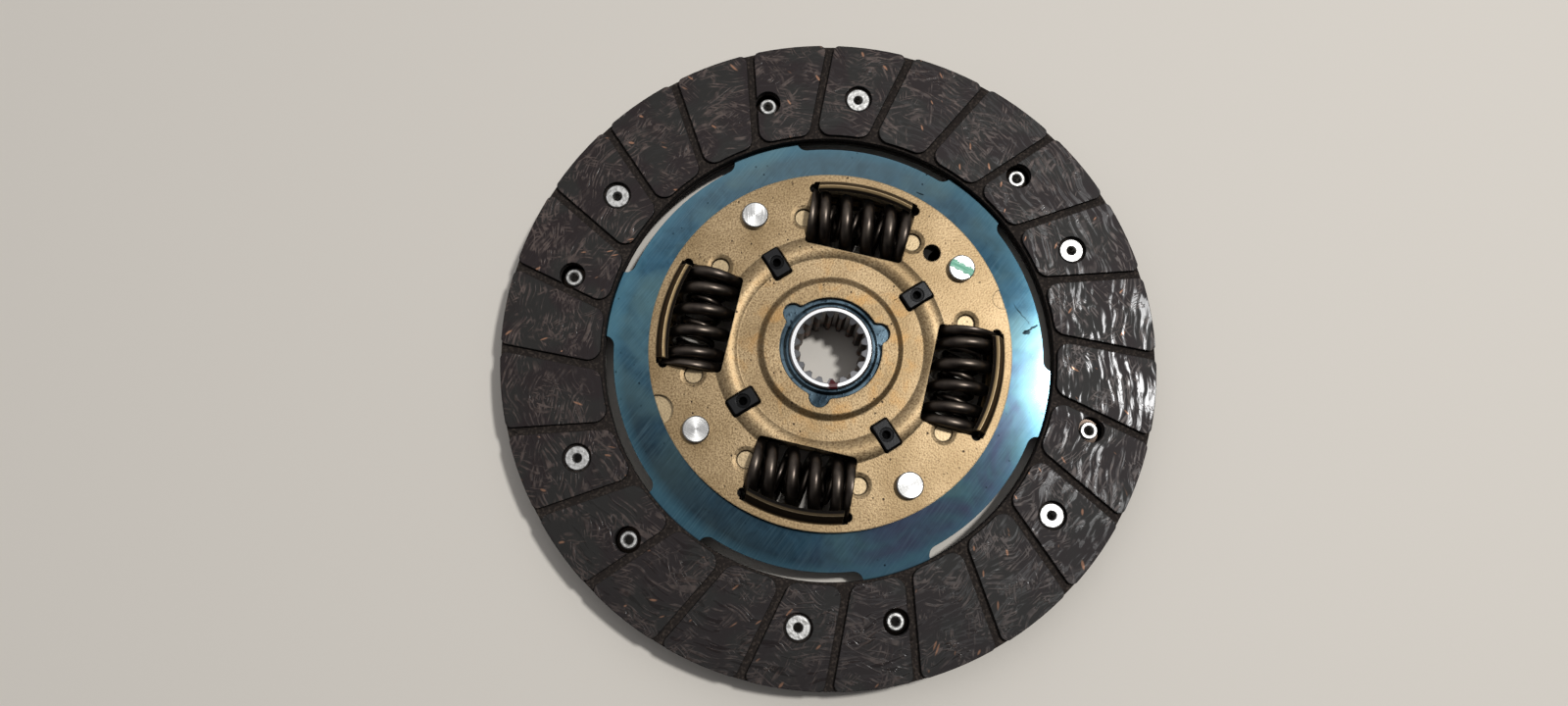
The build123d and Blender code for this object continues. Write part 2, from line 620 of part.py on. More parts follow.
def hub_flange():
    """The flange plate that the springs push on, keyed on the hub's coarse teeth."""
    outline = Circle(FLANGE_R) - hub_teeth(HUB_TOOTH_PLAY)
    for angle in PIN_ANGLES:
        outline = outline - Rot(0, 0, angle) * stop_notch()
    plate = Pos(0, 0, FLANGE_Z) * extrude(outline, FLANGE_T)
    low, high = FLANGE_Z - FLANGE_T, FLANGE_TOP_Z + FLANGE_T
    inner = WINDOW_IN - FLANGE_WINDOW_IN
    window = window_cut(FLANGE_R - FLANGE_RIM, low, high, FLANGE_WINDOW_CORNER, inner)
    return plate - around(window, window_turns())


# ---- centre pack ----
def front_bush():
    """The lobed centring bush: a flange under the cover, a coned collar and three lugs."""
    flange_top = STEP_UNDER_Z
    cone_low = FRONT_OPENING_D / 2 - BUSH_LUG_PLAY
    flange_d = 2 * (STEP_SEAT_R - BUSH_FLANGE_PLAY)
    body = ring(2 * BUSH_BORE_R, flange_d, flange_top - BUSH_FLANGE_T, flange_top)
    lugs = lobed_opening(BUSH_LUG_PLAY) - Circle(cone_low - LOBE_FILLET)
    body = body + Pos(0, 0, flange_top) * extrude(lugs, BUSH_COLLAR_H / 2)
    collar = turned([
        (BUSH_BORE_R, flange_top - BUSH_FLANGE_T), (cone_low, flange_top - BUSH_FLANGE_T),
        (cone_low, flange_top), (BUSH_COLLAR_TOP_D / 2, flange_top + BUSH_COLLAR_H),
        (BUSH_BORE_R, flange_top + BUSH_COLLAR_H),
    ])
    return body + collar


def front_washer():
    """The plain washer between the flange and the front bush."""
    return ring(2 * BUSH_BORE_R, WASHER_D, FLANGE_TOP_Z + FACE_PLAY, STEP_UNDER_Z - BUSH_FLANGE_T)


def tab_ring():
    """The moulded friction ring with four tabs that stand through the front cover."""
    low = FLANGE_TOP_Z + FACE_PLAY
    middle = TAB_R
    body = ring(TAB_RING_IN_D, TAB_RING_OUT_D, low, FRONT_COVER_Z)
    start, end = (TAB_RING_IN_D + TAB_RING_OUT_D) / 4, middle + TAB_L / 2
    arm = extrude(Pos((start + end) / 2, 0) * Rectangle(end - start, TAB_W), FRONT_COVER_Z - low)
    top = FRONT_FLAT_Z + TAB_RISE
    post = extrude(Pos(middle, 0) * RectangleRounded(TAB_L, TAB_W, TAB_EDGE), top - low)
    post = chamfer(post.faces().sort_by(Axis.Z)[-1].edges(), TAB_EDGE / 2)
    tab = Pos(0, 0, low) * (arm + post)
    tab = tab - Pos(middle, 0, top) * Cylinder(TAB_RECESS_D / 2, 2 * TAB_RECESS_DEPTH)
    tab = tab - Pos(middle, 0, top) * Cylinder(TAB_HOLE_D / 2, 2 * TAB_HOLE_DEPTH)
    return joined(body, around(tab, steps(WINDOW_COUNT, TAB_ANGLE)))


def rear_bush():
    """The plastic bush that centres the hub in the rear cover."""
    seat = REAR_COVER_TOP_Z - STEP_H
    low = seat - COVER_T
    high = FLANGE_Z - FACE_PLAY
    inner, neck_r, outer = BUSH_BORE_R, REAR_OPENING_D / 2 - BUSH_PLAY, REAR_BUSH_FLANGE_D / 2
    return turned([(inner, low), (neck_r, low), (neck_r, seat), (outer, seat), (outer, high), (inner, high)])


def rear_lining():
    """The friction washer under the flange."""
    high = FLANGE_Z - FACE_PLAY
    return ring(REAR_LINING_IN_D, REAR_LINING_OUT_D, high - REAR_LINING_T, high)


def pressure_washer():
    """The steel washer that spreads the disc spring's load on the lining."""
    high = FLANGE_Z - FACE_PLAY - REAR_LINING_T
    return ring(REAR_LINING_IN_D, PRESSURE_WASHER_OUT_D, high - PRESSURE_WASHER_T, high)


def disc_spring():
    """The coned spring that loads the friction pack against the rear cover."""
    inner, outer = DISC_SPRING_IN_D / 2, STEP_SEAT_R + DISC_SPRING_EDGE_PLAY
    low = REAR_COVER_TOP_Z - STEP_H
    high = FLANGE_Z - FACE_PLAY - REAR_LINING_T - PRESSURE_WASHER_T
    return turned([(inner, low), (inner, low + DISC_SPRING_T), (outer, high), (outer, high - DISC_SPRING_T)])


# ---- write one file per piece ----
front_facing = Pos(0, 0, FRONT_BACK_Z) * facing()
front_rivets = facing_rivets()
parts = {
    "hub": hub(),
    "hub_flange": hub_flange(),
    "front_cover": front_cover(),
    "rear_cover": rear_cover(),
    "cushion_plate": cushion_plate(),
    "front_facing": front_facing,
    "rear_facing": turned_over(front_facing),
    "front_facing_rivets": Compound(children=front_rivets),
    "rear_facing_rivets": Compound(children=[turned_over(rivet) for rivet in front_rivets]),
    "front_bush": front_bush(),
    "front_washer": front_washer(),
    "tab_ring": tab_ring(),
    "rear_bush": rear_bush(),
    "rear_lining": rear_lining(),
    "pressure_washer": pressure_washer(),
    "disc_spring": disc_spring(),
}
for number, angle in enumerate(PIN_ANGLES, 1):
    parts[f"stop_pin_{number}"] = stop_pin(angle)
outer_coil = coil(SPRING_D, SPRING_WIRE, SPRING_TURNS, 1)
inner_coil = coil(SPRING_D - 2 * SPRING_WIRE - 2 * INNER_SPRING_PLAY, INNER_WIRE, INNER_TURNS, -1)
for number, turn in enumerate(window_turns(), 1):
    parts[f"outer_spring_{number}"] = Rot(0, 0, turn) * outer_coil
    parts[f"inner_spring_{number}"] = Rot(0, 0, turn) * inner_coil

os.makedirs("parts", exist_ok=True)
for name, shape in parts.items():
    export_step(shape, f"parts/{name}.step")
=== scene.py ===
"""Looks of the clutch disc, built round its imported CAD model. Lengths are in metres."""

import math

import bpy
import numpy as np
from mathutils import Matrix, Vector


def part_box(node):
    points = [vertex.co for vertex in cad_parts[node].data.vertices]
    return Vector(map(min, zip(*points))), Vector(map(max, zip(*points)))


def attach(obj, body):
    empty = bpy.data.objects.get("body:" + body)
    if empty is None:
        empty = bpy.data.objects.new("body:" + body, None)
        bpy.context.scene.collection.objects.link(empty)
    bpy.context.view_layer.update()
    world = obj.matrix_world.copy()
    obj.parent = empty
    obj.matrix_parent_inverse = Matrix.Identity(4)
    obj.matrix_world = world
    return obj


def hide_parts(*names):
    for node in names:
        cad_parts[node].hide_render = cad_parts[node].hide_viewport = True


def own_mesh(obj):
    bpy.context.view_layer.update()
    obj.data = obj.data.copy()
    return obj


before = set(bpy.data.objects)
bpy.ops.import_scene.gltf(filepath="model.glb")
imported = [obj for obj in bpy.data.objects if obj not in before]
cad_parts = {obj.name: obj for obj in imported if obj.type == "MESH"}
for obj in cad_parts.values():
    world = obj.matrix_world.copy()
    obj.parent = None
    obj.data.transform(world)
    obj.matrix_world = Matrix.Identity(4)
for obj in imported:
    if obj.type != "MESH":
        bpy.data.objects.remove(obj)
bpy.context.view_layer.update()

# ---- Hub ----
# A steel forging, turned outside and broached inside with 18 straight-sided splines. The end face
# is bright from the lathe, with an inspector's dab of dark red paint on it. The spline is dark
# with oil, with some rust on its flanks.
MM = 0.001
BORE_EDGE_R = (11.0 * MM, 10.75 * MM)
OIL_LINE = (19.2 * MM, 18.7 * MM)
TURNING_PITCH = 0.25 * MM
RUST_PATCH = 2.0 * MM
DAB_PLACE = (0.5 * MM, -11.4 * MM, 20.0 * MM)
DAB_SIZE = (1.6 * MM, 2.3 * MM, 2.2 * MM)
DAB_RAGGED = 0.8 * MM


def linear(code):
    """A colour written as six sRGB hex digits, as the linear colour and alpha that sockets take."""
    parts = [int(code[place:place + 2], 16) / 255 for place in (0, 2, 4)]
    parts = [p / 12.92 if p <= 0.04045 else ((p + 0.055) / 1.055) ** 2.4 for p in parts]
    return (*parts, 1.0)


def add(tree, kind, feeds=None, **settings):
    """Adds a node to a tree, sets its properties, and feeds its sockets.

    A feed is a plain value, another node's output, or a node, which then gives its first output.
    """
    made = tree.nodes.new("ShaderNode" + kind)
    for name, value in settings.items():
        setattr(made, name, value)
    for name, value in (feeds or {}).items():
        if isinstance(value, bpy.types.Node):
            value = value.outputs[0]
        if isinstance(value, bpy.types.NodeSocket):
            tree.links.new(value, made.inputs[name])
        else:
            made.inputs[name].default_value = value
    return made


def new_finish(name, **settings):
    """A material with its shader set, its node tree, its shader and its object coordinates."""
    made = bpy.data.materials.new(name)
    made.use_nodes = True
    tree = made.node_tree
    shader = tree.nodes["Principled BSDF"]
    for socket, value in settings.items():
        shader.inputs[socket.replace("_", " ")].default_value = value
    return made, tree, shader, add(tree, "TexCoord").outputs["Object"]


def from_axis(tree, where):
    """Distance from the disc's axis."""
    flat = add(tree, "VectorMath", {0: where, 1: (1.0, 1.0, 0.0)}, operation="MULTIPLY")
    return add(tree, "VectorMath", {0: flat}, operation="LENGTH").outputs["Value"]


def finish_surface(tree, shader, colour, edge, relief, depth):
    """Links the colour, rounds edges to a radius in the light, and adds a relief of a depth."""
    tree.links.new(colour.outputs[0], shader.inputs["Base Color"])
    normal = add(tree, "Bevel", {"Radius": edge}, samples=4)
    normal = add(tree, "Bump", {"Height": relief, "Distance": depth, "Normal": normal})
    tree.links.new(normal.outputs[0], shader.inputs["Normal"])


def clad(finish, *names):
    """Gives CAD nodes a material."""
    for name in names:
        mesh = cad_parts[name].data
        mesh.materials.clear()
        mesh.materials.append(finish)


# Turned steel mirrors the light in fine rings, drawn coarser than real ones so that they show.
# The oil makes it dull, and the dab of paint hides it.
hub_steel, tree, shader, where = new_finish("turned_steel")
radius = from_axis(tree, where)
along = add(tree, "CombineXYZ", {"X": radius})
rings = add(tree, "TexNoise", {"Vector": along, "Scale": 1 / TURNING_PITCH})
bright = add(tree, "MixRGB", {"Fac": rings, "Color1": linear("a8a8a8"), "Color2": linear("cccccc")})
rust = add(tree, "TexNoise", {"Vector": where, "Scale": 1 / RUST_PATCH, "Detail": 5.0})
rust = add(tree, "MapRange", {"Value": rust, "From Min": 0.5, "From Max": 0.66})
darker = add(tree, "MixRGB", {"Fac": rust, "Color1": linear("57524e"), "Color2": linear("6e4630")})
inside = {"Value": radius, "From Min": BORE_EDGE_R[0], "From Max": BORE_EDGE_R[1]}
inside = add(tree, "MapRange", inside)
height = add(tree, "SeparateXYZ", {"Vector": where}).outputs["Z"]
below = add(tree, "MapRange", {"Value": height, "From Min": OIL_LINE[0], "From Max": OIL_LINE[1]})
inside = add(tree, "Math", {0: inside, 1: below}, operation="MULTIPLY")
steel = add(tree, "MixRGB", {"Fac": inside, "Color1": bright, "Color2": darker})
ragged = add(tree, "TexNoise", {"Vector": where, "Scale": 1 / DAB_RAGGED})
dab = {"Vector": where, "Location": DAB_PLACE, "Scale": DAB_SIZE}
dab = add(tree, "Mapping", dab, vector_type="TEXTURE")
dab = add(tree, "VectorMath", {0: dab}, operation="LENGTH").outputs["Value"]
dab = add(tree, "Math", {0: dab, 1: ragged}, operation="ADD")
dab = add(tree, "MapRange", {"Value": dab, "From Min": 1.5, "From Max": 1.3})
colour = add(tree, "MixRGB", {"Fac": dab, "Color1": steel, "Color2": linear("4a1014")})
metal = add(tree, "MapRange", {"Value": dab, "To Min": 1.0, "To Max": 0.1})
tree.links.new(metal.outputs[0], shader.inputs["Metallic"])
rough = add(tree, "MapRange", {"Value": inside, "To Min": 0.32, "To Max": 0.5})
tree.links.new(rough.outputs[0], shader.inputs["Roughness"])
finish_surface(tree, shader, colour, edge=0.2 * MM, relief=rings, depth=0.01 * MM)
clad(hub_steel, "hub")

# ---- Flange and washers ----
# Stamped steel between the covers. Heat treatment and oil leave it brown-black and dull, in large
# soft patches, and it is painted darker still as shade, so that it looks black through the covers'
# holes. Little of it shows past the springs.
SCALE_PATCH = 4.0 * MM
dark_steel, tree, shader, where = new_finish("blackened_steel_and_painted_shade", Metallic=0.9, Roughness=0.6)
scale = add(tree, "TexNoise", {"Vector": where, "Scale": 1 / SCALE_PATCH, "Detail": 4.0})
# Near black: the oily steel's own dark colour, darkened further as painted shade.
colour = add(tree, "MixRGB", {"Fac": scale, "Color1": linear("0c0c0c"), "Color2": linear("1e1c1a")})
finish_surface(tree, shader, colour, edge=0.15 * MM, relief=scale, depth=0.02 * MM)
clad(dark_steel, "hub_flange", "front_washer", "pressure_washer", "disc_spring")

# ---- Rear lining ----
# A washer pressed from the same kind of friction mix as a brake pad. It is brown-grey and quite
# dull, with paler crumbs of filler in it.
CRUMB = 0.8 * MM
lining, tree, shader, where = new_finish("pressed_friction_mix", Roughness=0.85)
crumb = add(tree, "TexNoise", {"Vector": where, "Scale": 1 / CRUMB, "Detail": 3.0})
colour = add(tree, "MixRGB", {"Fac": crumb, "Color1": linear("2b2521"), "Color2": linear("5a4c40")})
finish_surface(tree, shader, colour, edge=0.1 * MM, relief=crumb, depth=0.05 * MM)
clad(lining, "rear_lining")

# ---- Front bush ----
# A lobed bush of blued spring steel that centres the hub in the cover's opening. It is smooth, so
# it mirrors the light in a few small patches, and it is soiled with dark oil.
HEAT_PATCH = 7.0 * MM
SOIL_PATCH = 1.4 * MM
blued, tree, shader, where = new_finish("blued_spring_steel", Metallic=1.0, Roughness=0.27)
heat = add(tree, "TexNoise", {"Vector": where, "Scale": 1 / HEAT_PATCH, "Detail": 2.0})
heat = add(tree, "MapRange", {"Value": heat, "From Min": 0.35, "From Max": 0.65})
bluing = add(tree, "MixRGB", {"Fac": heat, "Color1": linear("222d34"), "Color2": linear("4e5f69")})
dark_mask = add(tree, "TexNoise", {"Vector": where, "Scale": 1 / SOIL_PATCH, "Detail": 4.0})
dark_mask = add(tree, "MapRange", {"Value": dark_mask, "From Min": 0.54, "From Max": 0.7})
colour = add(tree, "MixRGB", {"Fac": dark_mask, "Color1": bluing, "Color2": linear("182129")})
finish_surface(tree, shader, colour, edge=0.3 * MM, relief=dark_mask, depth=0.02 * MM)
clad(blued, "front_bush")

# ---- Tab ring and rear bush ----
# Glass-filled nylon mouldings: black and satin, with soft edges and a fine grain, drawn coarser
# than the real one. Below the tops of the tabs, in their recesses and holes, they are painted
# near black as shade and their reflection is taken off, so the gloss shows only on the tops.
MOULD_GRAIN = 0.4 * MM
TAB_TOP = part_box("tab_ring")[1][2]
SHADE_DEPTH = (0.1 * MM, 0.5 * MM)
shade_top, shade_foot = TAB_TOP - SHADE_DEPTH[0], TAB_TOP - SHADE_DEPTH[1]
nylon = {"Roughness": 0.28, "Specular_IOR_Level": 0.22}
moulding, tree, shader, where = new_finish("glass_filled_nylon", **nylon)
grain = add(tree, "TexNoise", {"Vector": where, "Scale": 1 / MOULD_GRAIN})
colour = add(tree, "MixRGB", {"Fac": grain, "Color1": linear("060607"), "Color2": linear("0d0d0f")})
height = add(tree, "SeparateXYZ", {"Vector": where}).outputs["Z"]
# Painted shade: below the tabs' tops the colour goes near black, and Metallic over black takes the
# reflection off.
tab_shade = add(tree, "MapRange", {"Value": height, "From Min": shade_top, "From Max": shade_foot})
colour = add(tree, "MixRGB", {"Fac": tab_shade, "Color1": colour, "Color2": linear("040404")})
tree.links.new(tab_shade.outputs[0], shader.inputs["Metallic"])
finish_surface(tree, shader, colour, edge=0.35 * MM, relief=grain, depth=0.015 * MM)
clad(moulding, "tab_ring", "rear_bush")

# ---- Covers ----
# Pressed steel plates with a gold-bronze passivated coat. The press leaves an orange-peel grain,
# the coat has dark pinholes and short scuffs, and it is amber in patches near the middle.
COAT_GRAIN = 0.55 * MM
CLOUD = 16.0 * MM
AMBER_PATCH = 6.0 * MM
AMBER_R = (34.0 * MM, 19.0 * MM)
PINHOLE_SPACING = 2.6 * MM
PINHOLE_CROWD = 9.0 * MM
SCUFF = (4.5 * MM, 0.45 * MM, 0.45 * MM)
SCUFF_TURNS = (0.5, 1.9)
coat, tree, shader, where = new_finish("gold_bronze_passivate", Metallic=0.75)
radius = from_axis(tree, where)
place = add(tree, "SeparateXYZ", {"Vector": where})
cloud = add(tree, "TexNoise", {"Vector": where, "Scale": 1 / CLOUD, "Detail": 4.0})
cloud = add(tree, "MapRange", {"Value": cloud, "From Min": 0.35, "From Max": 0.65})
tone = add(tree, "MixRGB", {"Fac": cloud, "Color1": linear("877251"), "Color2": linear("a48e6c")})
grain = add(tree, "TexNoise", {"Vector": where, "Scale": 1 / COAT_GRAIN, "Detail": 3.0})
low = add(tree, "MapRange", {"Value": grain, "From Min": 0.62, "From Max": 0.32, "To Max": 0.85})
tone = add(tree, "MixRGB", {"Fac": low, "Color1": tone, "Color2": linear("5f4a30")})
amber = {"Vector": where, "Scale": 1 / AMBER_PATCH, "Detail": 3.0, "Distortion": 0.6}
amber = add(tree, "TexNoise", amber)
amber = add(tree, "MapRange", {"Value": amber, "From Min": 0.52, "From Max": 0.72, "To Max": 0.6})
middle = add(tree, "MapRange", {"Value": radius, "From Min": AMBER_R[0], "From Max": AMBER_R[1]})
amber = add(tree, "Math", {0: amber, 1: middle}, operation="MULTIPLY")
tone = add(tree, "MixRGB", {"Fac": amber, "Color1": tone, "Color2": linear("97703c")})
holes = add(tree, "TexVoronoi", {"Vector": where, "Scale": 1 / PINHOLE_SPACING})
holes = add(tree, "MapRange", {"Value": holes, "From Min": 0.16, "From Max": 0.08})
crowd = add(tree, "TexNoise", {"Vector": where, "Scale": 1 / PINHOLE_CROWD})
crowd = add(tree, "MapRange", {"Value": crowd, "From Min": 0.45, "From Max": 0.6})
marks = add(tree, "Math", {0: holes, 1: crowd}, operation="MULTIPLY")
for turn in SCUFF_TURNS:
    lines = {"Vector": where, "Location": (0.0, 0.0, turn), "Rotation": (0.0, 0.0, turn)}
    lines = add(tree, "Mapping", lines | {"Scale": SCUFF}, vector_type="TEXTURE")
    scuffs = add(tree, "TexNoise", {"Vector": lines, "Scale": 1.0})
    scuffs = {"Value": scuffs, "From Min": 0.74, "From Max": 0.8, "To Max": 0.7}
    scuffs = add(tree, "MapRange", scuffs)
    marks = add(tree, "Math", {0: marks, 1: scuffs}, operation="MAXIMUM")
tone = add(tree, "MixRGB", {"Fac": marks, "Color1": tone, "Color2": linear("2e2114")})

# The steep walls of the dishes, notches and windows are painted dark as shade, and the dishes'
# floors are paler. The heights here are counted from the middle of the damper, up and down alike.
DAMPER_MIDDLE = 12.5 * MM
WALL_SHADE_TOP = (5.05 * MM, 4.9 * MM)
WALL_SHADE_FOOT = (4.36 * MM, 4.45 * MM)
DISH_FLOOR = (4.36 * MM, 4.3 * MM)
height = add(tree, "Math", {0: place.outputs["Z"], 1: DAMPER_MIDDLE}, operation="SUBTRACT")
height = add(tree, "Math", {0: height}, operation="ABSOLUTE")
# Painted shade on the steep walls.
wall = add(tree, "MapRange", {"Value": height, "From Min": WALL_SHADE_TOP[0], "From Max": WALL_SHADE_TOP[1]})
foot = add(tree, "MapRange", {"Value": height, "From Min": WALL_SHADE_FOOT[0], "From Max": WALL_SHADE_FOOT[1]})
wall = add(tree, "Math", {0: wall, 1: foot}, operation="MULTIPLY")
tone = add(tree, "MixRGB", {"Fac": wall, "Color1": tone, "Color2": linear("241a10")})
dish = {"Value": height, "From Min": DISH_FLOOR[0], "From Max": DISH_FLOOR[1], "To Max": 0.3}
dish = add(tree, "MapRange", dish)
tone = add(tree, "MixRGB", {"Fac": dish, "Color1": tone, "Color2": linear("cfbc98")})

# The lips are painted brown outside as shade, darker still along their roots and on their inner
# sides, with a painted highlight on their outer corners. The lip towards -Y is painted near black
# as shade all over. The plates' edges carry a pale painted highlight, weaker on that lip.
LIP_R = (46.5 * MM, 47.0 * MM)
LIP_FOOT = (5.7 * MM, 6.3 * MM)
LIP_ROOT_SHADE = (7.6 * MM, 6.9 * MM)
LIP_HIGHLIGHT_R = (50.45 * MM, 50.2 * MM)
LIP_INSIDE_SHADE_R = (49.6 * MM, 49.3 * MM)
LIP_SHADE_LINE = (-30.0 * MM, -32.0 * MM)
EDGE_HIGHLIGHT_REACH = 0.3 * MM


def edge_share(tree, reach):
    """How near an edge a point is: the turn of a bevelled normal, nought past the reach."""
    soft = add(tree, "Bevel", {"Radius": reach}, samples=4)
    flat = add(tree, "NewGeometry").outputs["Normal"]
    along = add(tree, "VectorMath", {0: soft, 1: flat}, operation="DOT_PRODUCT").outputs["Value"]
    return add(tree, "MapRange", {"Value": along, "From Min": 0.99, "From Max": 0.86})


out = add(tree, "MapRange", {"Value": radius, "From Min": LIP_R[0], "From Max": LIP_R[1]})
lip = add(tree, "MapRange", {"Value": height, "From Min": LIP_FOOT[0], "From Max": LIP_FOOT[1]})
lip = add(tree, "Math", {0: lip, 1: out}, operation="MULTIPLY")
# Painted shade: the lips' outsides brown, near black along their roots.
root_shade = add(tree, "MapRange", {"Value": height, "From Min": LIP_ROOT_SHADE[0], "From Max": LIP_ROOT_SHADE[1]})
drawn = add(tree, "MixRGB", {"Fac": root_shade, "Color1": linear("54422c"), "Color2": linear("140e08")})
# Painted highlight on the lips' outer corners.
corner = {"Value": radius, "From Min": LIP_HIGHLIGHT_R[0], "From Max": LIP_HIGHLIGHT_R[1]}
corner = add(tree, "MapRange", corner)
drawn = add(tree, "MixRGB", {"Fac": corner, "Color1": drawn, "Color2": linear("b89d72")})
# Painted shade on the lips' inner sides.
inner = {"Value": radius, "From Min": LIP_INSIDE_SHADE_R[0], "From Max": LIP_INSIDE_SHADE_R[1]}
inner = add(tree, "MapRange", inner)
drawn = add(tree, "MixRGB", {"Fac": inner, "Color1": drawn, "Color2": linear("1c150e")})
# Painted shade: the lip towards -Y goes near black.
lip_shade = {"From Min": LIP_SHADE_LINE[0], "From Max": LIP_SHADE_LINE[1], "To Max": 0.85}
lip_shade = add(tree, "MapRange", {"Value": place.outputs["Y"]} | lip_shade)
lip_shade = add(tree, "Math", {0: lip_shade, 1: lip}, operation="MULTIPLY")
drawn = add(tree, "MixRGB", {"Fac": lip_shade, "Color1": drawn, "Color2": linear("0c0805")})
tone = add(tree, "MixRGB", {"Fac": lip, "Color1": tone, "Color2": drawn})
# Painted highlight along the plates' edges, weaker on the shaded lip.
edge_highlight = add(tree, "MapRange", {"Value": lip_shade, "To Min": 0.55, "To Max": 0.1})
edge_highlight = add(tree, "Math", {0: edge_share(tree, EDGE_HIGHLIGHT_REACH), 1: edge_highlight}, operation="MULTIPLY")
colour = add(tree, "MixRGB", {"Fac": edge_highlight, "Color1": tone, "Color2": linear("d9c7a4")})
rough = {"Value": grain, "From Min": 0.2, "From Max": 0.8, "To Min": 0.36, "To Max": 0.5}
rough = add(tree, "MapRange", rough)
tree.links.new(rough.outputs[0], shader.inputs["Roughness"])
relief = add(tree, "Math", {0: grain, 1: marks}, operation="SUBTRACT")
finish_surface(tree, shader, colour, edge=0.45 * MM, relief=relief, depth=0.05 * MM)
clad(coat, "front_cover", "rear_cover")

# ---- Cushion plate ----
# Rolled spring steel, tempered blue. Where it ran hotter it is violet, and elsewhere it drifts to
# greenish cyan. It is paler and greyer towards +Y and darker towards -X and -Y. It has faint
# grinding lines, drawn coarser than real ones, and a few dark gouges. Under the covers and facings
# it is painted dark as shade.
TEMPER_PATCH = 26.0 * MM
MOTTLE = 4.0 * MM
HOT_BAND = (50.0 * MM, 75.0 * MM)
PALE_BAND = (30.0 * MM, 60.0 * MM)
DULL_BAND = (-55.0 * MM, -85.0 * MM)
RIM_BAND_R = (63.0 * MM, 66.5 * MM)
GRIND_TURN = math.radians(52)
GRIND_LINE = (12.0 * MM, 0.2 * MM, 0.2 * MM)
SPECK_SPACING = 3.2 * MM
SPECK_CROWD = 12.0 * MM
# Each gouge: its place, its turn, and half its length and width.
GOUGES = (
    (60.6 * MM, 13.3 * MM, math.radians(-53), 4.6 * MM, 0.14 * MM),
    (63.2 * MM, 8.5 * MM, math.radians(28), 3.2 * MM, 0.35 * MM),
    (61.8 * MM, 7.4 * MM, math.radians(10), 1.3 * MM, 0.8 * MM),
    (29.8 * MM, 52.3 * MM, math.radians(-22), 1.4 * MM, 0.3 * MM),
)
GOUGE_WANDER = 1.5 * MM
GOUGE_WANDER_REACH = 1.2 * MM
FACING_EDGE_R = (68.5 * MM, 69.5 * MM)
COVER_EDGE_R = (53.5 * MM, 52.5 * MM)
temper, tree, shader, where = new_finish("tempered_blue_steel", Metallic=1.0, Roughness=0.108)
radius = from_axis(tree, where)
place = add(tree, "SeparateXYZ", {"Vector": where})
drift = {"Vector": where, "Scale": 1 / TEMPER_PATCH, "Detail": 3.0, "Distortion": 0.8}
drift = add(tree, "TexNoise", drift)
mottle = {"Vector": where, "Scale": 1 / MOTTLE, "Detail": 4.0, "Distortion": 0.5}
mottle = add(tree, "TexNoise", mottle)
deep = add(tree, "MapRange", {"Value": mottle, "From Min": 0.36, "From Max": 0.64})
tone = add(tree, "MixRGB", {"Fac": deep, "Color1": linear("2c4a5b"), "Color2": linear("395c6f")})
cool = add(tree, "MapRange", {"Value": drift, "From Min": 0.48, "From Max": 0.66, "To Max": 0.55})
tone = add(tree, "MixRGB", {"Fac": cool, "Color1": tone, "Color2": linear("5d7a7b")})
across = {0: place.outputs["X"], 1: place.outputs["Y"]}
hot = add(tree, "Math", across, operation="SUBTRACT")
hot = {"Value": hot, "From Min": HOT_BAND[0], "From Max": HOT_BAND[1], "To Max": 0.9}
hot = add(tree, "MapRange", hot)
patch = add(tree, "MapRange", {"Value": drift, "From Min": 0.62, "From Max": 0.42})
hot = add(tree, "Math", {0: hot, 1: patch}, operation="MULTIPLY")
tone = add(tree, "MixRGB", {"Fac": hot, "Color1": tone, "Color2": linear("524a63")})
paler = {"From Min": PALE_BAND[0], "From Max": PALE_BAND[1], "To Max": 0.42}
paler = add(tree, "MapRange", {"Value": place.outputs["Y"]} | paler)
tone = add(tree, "MixRGB", {"Fac": paler, "Color1": tone, "Color2": linear("6a787a")})
duller = add(tree, "Math", across, operation="ADD")
duller = {"Value": duller, "From Min": DULL_BAND[0], "From Max": DULL_BAND[1], "To Max": 0.7}
duller = add(tree, "MapRange", duller)
tone = add(tree, "MixRGB", {"Fac": duller, "Color1": tone, "Color2": linear("25292c")})
rim = {"Value": radius, "From Min": RIM_BAND_R[0], "From Max": RIM_BAND_R[1], "To Max": 0.4}
rim = add(tree, "MapRange", rim)
tone = add(tree, "MixRGB", {"Fac": rim, "Color1": tone, "Color2": linear("4f8093")})
lines = {"Vector": where, "Rotation": (0.0, 0.0, GRIND_TURN), "Scale": GRIND_LINE}
lines = add(tree, "Mapping", lines, vector_type="TEXTURE")
lines = add(tree, "TexNoise", {"Vector": lines, "Scale": 1.0, "Detail": 2.0})
light = add(tree, "MapRange", {"Value": lines, "From Min": 0.45, "From Max": 0.75, "To Max": 0.22})
tone = add(tree, "MixRGB", {"Fac": light, "Color1": tone, "Color2": linear("7fa0aa")})
specks = add(tree, "TexVoronoi", {"Vector": where, "Scale": 1 / SPECK_SPACING})
specks = add(tree, "MapRange", {"Value": specks, "From Min": 0.12, "From Max": 0.05})
crowd = add(tree, "TexNoise", {"Vector": where, "Scale": 1 / SPECK_CROWD})
crowd = add(tree, "MapRange", {"Value": crowd, "From Min": 0.48, "From Max": 0.58})
specks = add(tree, "Math", {0: specks, 1: crowd}, operation="MULTIPLY")
tone = add(tree, "MixRGB", {"Fac": specks, "Color1": tone, "Color2": linear("0e1a22")})
wander = add(tree, "TexNoise", {"Vector": where, "Scale": 1 / GOUGE_WANDER, "Detail": 2.0})
wander = {0: wander.outputs["Color"], "Scale": GOUGE_WANDER_REACH}
wander = add(tree, "VectorMath", wander, operation="SCALE")
wander = add(tree, "VectorMath", {0: where, 1: wander}, operation="ADD")
